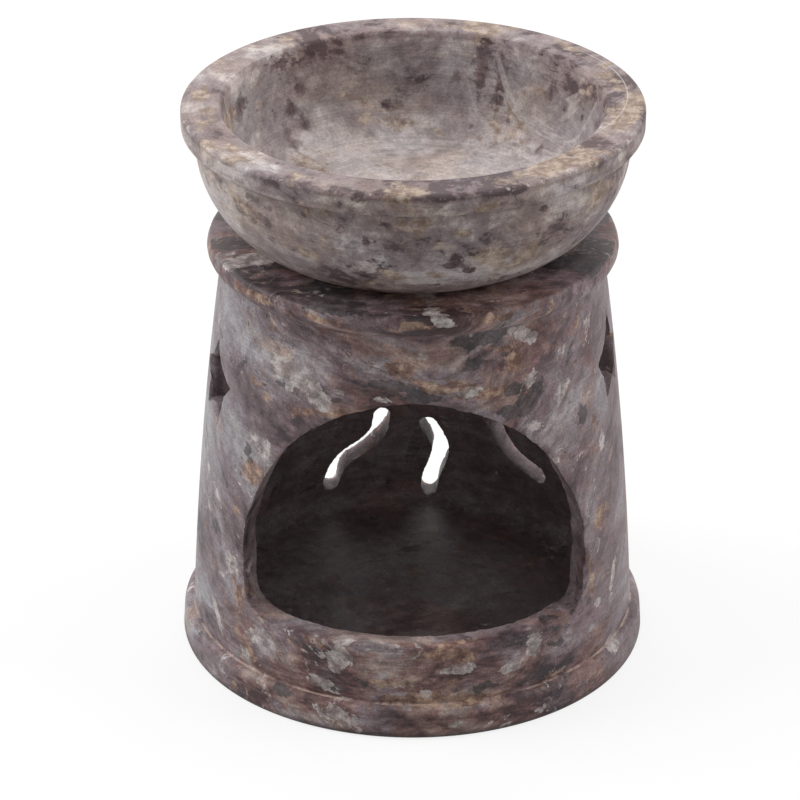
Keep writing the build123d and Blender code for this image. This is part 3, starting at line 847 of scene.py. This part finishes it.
hairlines = cloud(tree, moved(tree, "MULTIPLY", wiped, (1500.0, 60.0, 0.0)), 1.0, 1.0, 0.5, 5.5)
hairlines = figured(
    tree, "MULTIPLY", stepped(tree, hairlines, 1.9, 2.6), stepped(tree, axes[0], 4 * MM, 18 * MM)
)
hairlines = figured(tree, "MULTIPLY", hairlines, stepped(tree, radius, bowl_radius, bowl_radius - 1.0 * MM))
colour = blended(tree, figured(tree, "MULTIPLY", hairlines, 0.5), colour, (0.560, 0.510, 0.490, 1))
speckle = figured(
    tree, "MULTIPLY", stepped(tree, mottle, -2.0, 2.0, 0.86, 1.14),
    stepped(tree, grain, -2.0, 2.0, 0.90, 1.10),
)
lathe_marks = cloud(tree, moved(tree, "MULTIPLY", section, (2400.0, 2400.0, 0.0)), 1.0, 3.0, 0.6)
speckle = figured(tree, "MULTIPLY", speckle, stepped(tree, lathe_marks, -2.0, 2.0, 0.93, 1.07))
colour = blended(tree, 1.0, colour, speckle, "MULTIPLY")
tree.links.new(colour, surface.inputs["Base Color"])
tree.links.new(stepped(tree, mottle, -2.0, 2.0, 0.52, 0.68), surface.inputs["Roughness"])
surface.inputs["Specular IOR Level"].default_value = 0.2
relief = figured(tree, "MULTIPLY_ADD", mottle, 0.7, figured(tree, "MULTIPLY", grain, 0.3))
bump = shader_node(tree, "Bump", {"Height": relief, "Strength": 0.25, "Distance": 0.00003})
tree.links.new(bump.outputs[0], surface.inputs["Normal"])
dish.data.materials.append(finish)

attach(dish, "dish")
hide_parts("dish")

# Table
# A plain pale surface that fades into the white surroundings and keeps the burner's shadow.
table_radius = 1.2


def seen_directly(tree):
    """1 where the camera sees a surface, straight or in a shine, and 0 where it only lights the rest."""
    light_path = shader_node(tree, "LightPath", {}).outputs
    seen = figured(tree, "ADD", light_path["Is Camera Ray"], light_path["Is Glossy Ray"])
    return figured(tree, "MINIMUM", figured(tree, "ADD", seen, light_path["Is Transmission Ray"]), 1.0)


bpy.ops.object.select_all(action="DESELECT")
bpy.ops.mesh.primitive_circle_add(vertices=128, radius=table_radius, fill_type="NGON", location=(0, 0, 0))
table = bpy.context.object
table.name = "table"
finish, tree, surface = new_finish("pale_table")
tree.nodes.remove(surface)
seen = seen_directly(tree)
matt = shader_node(tree, "BsdfDiffuse", {"Color": (0.45, 0.45, 0.45, 1)}).outputs[0]
shaded = shader_node(tree, "BsdfDiffuse", {"Color": (0.25, 0.25, 0.25, 1)}).outputs[0]
glow = shader_node(tree, "Emission", {"Color": (1, 1, 1, 1), "Strength": 0.78}).outputs[0]
white = shader_node(tree, "AddShader", {0: shaded, 1: glow}).outputs[0]
mixed = shader_node(tree, "MixShader", {0: seen, 1: matt, 2: white}).outputs[0]
tree.links.new(mixed, tree.nodes["Material Output"].inputs["Surface"])
table.data.materials.append(finish)

# Light
# Soft lights at both sides, a weaker one overhead and one behind, in white surroundings.
world = bpy.data.worlds.new("white_surroundings")
bpy.context.scene.world = world
world.use_nodes = True
tree = world.node_tree
seen = seen_directly(tree)
dim = shader_node(tree, "Background", {"Color": (1, 1, 1, 1), "Strength": 0.32}).outputs[0]
white = shader_node(tree, "Background", {"Color": (1, 1, 1, 1), "Strength": 1.0}).outputs[0]
mixed = shader_node(tree, "MixShader", {0: seen, 1: dim, 2: white}).outputs[0]
tree.links.new(mixed, tree.nodes["World Output"].inputs["Surface"])

soft_lights = {
    "overhead": ((0, 0.15, 0.80), 0.55, 1.2),
    "left_side": ((-0.62, 0.05, 0.50), 0.5, 3.2),
    "right_side": ((0.62, 0.05, 0.50), 0.5, 2.3),
    "backdrop": ((0, 0.90, 0.45), 0.9, 1.9),
}
burner_middle = Vector((0, 0, 0.05))
for light_name, (place, size, power) in soft_lights.items():
    bpy.ops.object.light_add(type="AREA", location=place)
    lamp = bpy.context.object
    lamp.name = light_name
    lamp.data.size = size
    lamp.data.energy = power
    aim = burner_middle - Vector(place)
    lamp.rotation_euler = aim.to_track_quat("-Z", "Y").to_euler()

# Camera
# Looks down on the front of the burner at the photograph's angle, with a long lens.
camera_place = (-0.0022, -0.5569, 0.3315)
camera_tilt = 27.33
bpy.ops.object.camera_add(location=camera_place, rotation=(math.radians(90 - camera_tilt), 0, 0))
camera = bpy.context.object
camera.data.lens = 161.5
camera.data.sensor_width = 36.0
bpy.context.scene.camera = camera
bpy.context.scene.view_settings.view_transform = "Standard"
